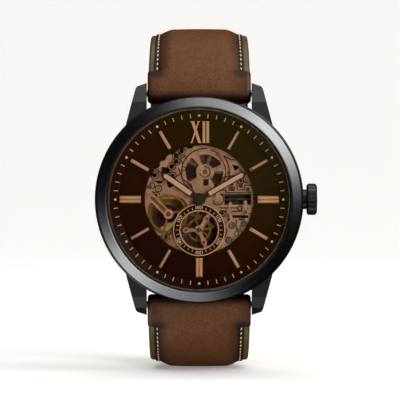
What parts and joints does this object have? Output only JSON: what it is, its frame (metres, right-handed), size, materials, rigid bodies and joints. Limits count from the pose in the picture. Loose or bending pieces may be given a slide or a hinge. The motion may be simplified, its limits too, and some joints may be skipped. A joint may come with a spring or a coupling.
{
  "type": "skeleton wristwatch",
  "caption": "Round automatic wristwatch with a skeleton dial, small seconds, fluted winding knob and padded leather strap with pin buckle.",
  "frame": {"origin": "centre of the rear cover's flat outer face", "axes": "+Y out of the rear cover towards the wrist, the dial faces -Y; +Z towards 12 o'clock; +X towards 3 o'clock"},
  "size_m": [0.0469, 0.065, 0.073],
  "materials": {
    "black_steel": "black plated steel, circularly brushed",
    "crystal": "clear sapphire with a faint coating",
    "dial_brown": "dark brown sunburst lacquer",
    "rose_gold": "polished rose gold plating",
    "plate_copper": "frosted rose-toned plate",
    "gold": "gilt brass",
    "steel": "polished steel",
    "blued_steel": "blued spring steel",
    "ruby": "synthetic ruby",
    "hand_brown": "dark bronze lacquer",
    "hand_fill": "pale rose fill",
    "rubber": "nitrile",
    "leather": "waxed pull-up leather",
    "movement_black": "moulded holding ring"
  },
  "bodies": {
    "case": {"middle_case": "black_steel", "bezel": "black_steel", "glass_gaskets": "rubber", "crystal": "crystal", "rear_cover": "black_steel", "rear_glass": "crystal", "dial": "dial_brown", "chapter_ring": "dial_brown", "applied_markers": "rose_gold", "seconds_ring": "dial_brown", "main_plate": "plate_copper", "barrel_bridge": "plate_copper", "train_bridge": "plate_copper", "escapement_bridges": "plate_copper", "dial_side_bridges": "plate_copper", "front_jewels": "ruby", "movement_screws": "steel", "movement_springs": "steel", "movement_ring": "movement_black", "automatic_bridge": "plate_copper", "crown_tube": "black_steel", "spring_bars": "steel"},
    "barrel": {"mainspring_barrel": "plate_copper", "mainspring": "blued_steel"},
    "barrel_arbor_set": {"barrel_arbor": "steel", "ratchet_wheel": "steel"},
    "crown_wheel": {"winding_crown_wheel": "steel"},
    "centre_arbor": {"centre_wheel": "gold"},
    "third_arbor": {"third_wheel": "gold"},
    "seconds_arbor": {"fourth_wheel": "gold", "seconds_hand": "hand_brown"},
    "escape_arbor": {"escape_wheel": "steel"},
    "pallets": {"pallet_lever": "steel"},
    "balance": {"balance_wheel": "gold", "hairspring": "blued_steel"},
    "minute_set": {"cannon_pinion": "steel", "minute_hand": "hand_brown", "minute_hand_fill": "hand_fill"},
    "minute_wheel_arbor": {"minute_wheel": "gold"},
    "hour_set": {"hour_wheel": "gold", "hour_hand": "hand_brown", "hour_hand_fill": "hand_fill"},
    "setting_wheel_body": {"setting_wheel": "steel"},
    "stem_seal": {"crown_gasket": "rubber"},
    "stem_and_knob": {"winding_crown": "black_steel", "winding_stem": "steel"},
    "sliding_pinion_body": {"sliding_pinion": "steel"},
    "winding_pinion_body": {"winding_pinion": "steel"},
    "setting_lever_body": {"setting_lever": "steel"},
    "yoke_body": {"yoke": "steel"},
    "click_body": {"click": "steel"},
    "rotor_body": {"rotor": "gold"},
    "reverser": {"reverser_wheel": "gold"},
    "reverser_pinion_body": {"reverser_pinion": "steel"},
    "upper_strap": {"strap_upper": "leather", "fixed_keeper": "leather"},
    "keeper_loop": {"free_keeper": "leather"},
    "buckle": {"buckle_frame": "black_steel"},
    "tongue": {"buckle_tongue": "black_steel"},
    "lower_strap": {"strap_lower": "leather"}
  },
  "joints": [
    {"name": "seconds_turn", "type": "hinge", "parent": "case", "child": "seconds_arbor", "pos_m": [0, -0.005, -0.00642], "axis": [0, -1, 0], "continuous": true},
    {"name": "third_turn", "type": "hinge", "parent": "case", "child": "third_arbor", "pos_m": [0.0015, -0.005, -0.0041], "axis": [0, -1, 0], "continuous": true},
    {"name": "centre_turn", "type": "hinge", "parent": "case", "child": "centre_arbor", "pos_m": [0, -0.005, 0], "axis": [0, -1, 0], "continuous": true},
    {"name": "barrel_turn", "type": "hinge", "parent": "case", "child": "barrel", "pos_m": [0.0012, -0.005, 0.0058], "axis": [0, -1, 0], "continuous": true},
    {"name": "escape_turn", "type": "hinge", "parent": "case", "child": "escape_arbor", "pos_m": [-0.0028, -0.005, -0.0065], "axis": [0, -1, 0], "continuous": true},
    {"name": "minute_hand_turn", "type": "hinge", "parent": "case", "child": "minute_set", "pos_m": [0, -0.009, 0], "axis": [0, -1, 0], "continuous": true},
    {"name": "minute_wheel_turn", "type": "hinge", "parent": "case", "child": "minute_wheel_arbor", "pos_m": [0.00168, -0.008, 0], "axis": [0, -1, 0], "continuous": true},
    {"name": "hour_hand_turn", "type": "hinge", "parent": "case", "child": "hour_set", "pos_m": [0, -0.009, 0], "axis": [0, -1, 0], "continuous": true},
    {"name": "setting_wheel_turn", "type": "hinge", "parent": "case", "child": "setting_wheel_body", "pos_m": [0.00399, -0.008, 0], "axis": [0, -1, 0], "continuous": true},
    {"name": "pallet_rock", "type": "hinge", "parent": "case", "child": "pallets", "pos_m": [-0.00438, -0.006, -0.00505], "axis": [0, -1, 0], "range_deg": [-6, 6]},
    {"name": "balance_swing", "type": "hinge", "parent": "case", "child": "balance", "pos_m": [-0.0065, -0.0075, -0.0031], "axis": [0, -1, 0], "range_deg": [-270, 270]},
    {"name": "crown_pull", "type": "slide", "parent": "case", "child": "stem_seal", "axis": [1, 0, 0], "range_m": [0, 0.001]},
    {"name": "crown_turn", "type": "hinge", "parent": "stem_seal", "child": "stem_and_knob", "pos_m": [0.0204, -0.0062, 0], "axis": [1, 0, 0], "continuous": true},
    {"name": "sliding_pinion_shift", "type": "slide", "parent": "stem_and_knob", "child": "sliding_pinion_body", "axis": [1, 0, 0], "range_m": [-0.0019, 0]},
    {"name": "winding_pinion_turn", "type": "hinge", "parent": "case", "child": "winding_pinion_body", "pos_m": [0.008, -0.0062, 0], "axis": [1, 0, 0], "continuous": true},
    {"name": "crown_wheel_turn", "type": "hinge", "parent": "case", "child": "crown_wheel", "pos_m": [0.0064, -0.005, 0], "axis": [0, -1, 0], "continuous": true},
    {"name": "ratchet_turn", "type": "hinge", "parent": "case", "child": "barrel_arbor_set", "pos_m": [0.0012, -0.005, 0.0058], "axis": [0, -1, 0], "continuous": true},
    {"name": "reverser_pinion_turn", "type": "hinge", "parent": "case", "child": "reverser_pinion_body", "pos_m": [-0.0029, -0.0035, 0.0016], "axis": [0, -1, 0], "continuous": true},
    {"name": "setting_lever_rock", "type": "hinge", "parent": "case", "child": "setting_lever_body", "pos_m": [0.00975, -0.0081, -0.0027], "axis": [0, -1, 0], "range_deg": [-25, 0]},
    {"name": "yoke_rock", "type": "hinge", "parent": "case", "child": "yoke_body", "pos_m": [0.006, -0.0081, -0.0034], "axis": [0, -1, 0], "range_deg": [0, 20]},
    {"name": "click_lift", "type": "hinge", "parent": "case", "child": "click_body", "pos_m": [-0.0049, -0.0035, 0.0096], "axis": [0, -1, 0], "range_deg": [-12, 0], "stiffness_Nm_per_rad": 0.00001},
    {"name": "rotor_turn", "type": "hinge", "parent": "case", "child": "rotor_body", "pos_m": [0, -0.002, 0], "axis": [0, -1, 0], "continuous": true},
    {"name": "reverser_turn", "type": "hinge", "parent": "case", "child": "reverser", "pos_m": [-0.0029, -0.0026, 0.0016], "axis": [0, -1, 0], "continuous": true},
    {"name": "upper_strap_open", "type": "hinge", "parent": "case", "child": "upper_strap", "pos_m": [0, -0.003, 0.0224], "axis": [1, 0, 0], "range_deg": [0, 35]},
    {"name": "lower_strap_open", "type": "hinge", "parent": "case", "child": "lower_strap", "pos_m": [0, -0.003, -0.0224], "axis": [-1, 0, 0], "range_deg": [0, 21]},
    {"name": "keeper_slide", "type": "hinge", "parent": "upper_strap", "child": "keeper_loop", "pos_m": [0, 0.0141, -0.00002], "axis": [1, 0, 0], "range_deg": [-4.8, 4.8]},
    {"name": "buckle_turn", "type": "hinge", "parent": "upper_strap", "child": "buckle", "pos_m": [0, 0.04831, 0.00364], "axis": [1, 0, 0], "range_deg": [0, 62]},
    {"name": "tongue_lift", "type": "hinge", "parent": "buckle", "child": "tongue", "pos_m": [0, 0.04831, 0.00364], "axis": [1, 0, 0], "range_deg": [0, 52]}
  ],
  "couplings": [
    {"joint": "third_turn", "follows": "seconds_turn", "ratio": -0.13333},
    {"joint": "centre_turn", "follows": "seconds_turn", "ratio": 0.016667},
    {"joint": "barrel_turn", "follows": "seconds_turn", "ratio": -0.002381},
    {"joint": "escape_turn", "follows": "seconds_turn", "ratio": -10},
    {"joint": "minute_wheel_turn", "follows": "minute_hand_turn", "ratio": -0.33333},
    {"joint": "hour_hand_turn", "follows": "minute_hand_turn", "ratio": 0.083333},
    {"joint": "setting_wheel_turn", "follows": "minute_hand_turn", "ratio": 0.4},
    {"joint": "winding_pinion_turn", "follows": "crown_turn", "ratio": 1},
    {"joint": "crown_wheel_turn", "follows": "crown_turn", "ratio": 0.53333},
    {"joint": "ratchet_turn", "follows": "crown_turn", "ratio": -0.4},
    {"joint": "reverser_pinion_turn", "follows": "crown_turn", "ratio": 1.4769},
    {"joint": "sliding_pinion_shift", "follows": "crown_pull", "ratio": -1.9},
    {"joint": "setting_lever_rock", "follows": "crown_pull", "rad_per_m": -425.86},
    {"joint": "yoke_rock", "follows": "crown_pull", "rad_per_m": 338.59},
    {"joint": "reverser_turn", "follows": "rotor_turn", "ratio": -0.83333},
    {"joint": "lower_strap_open", "follows": "upper_strap_open", "ratio": 0.6}
  ]
}
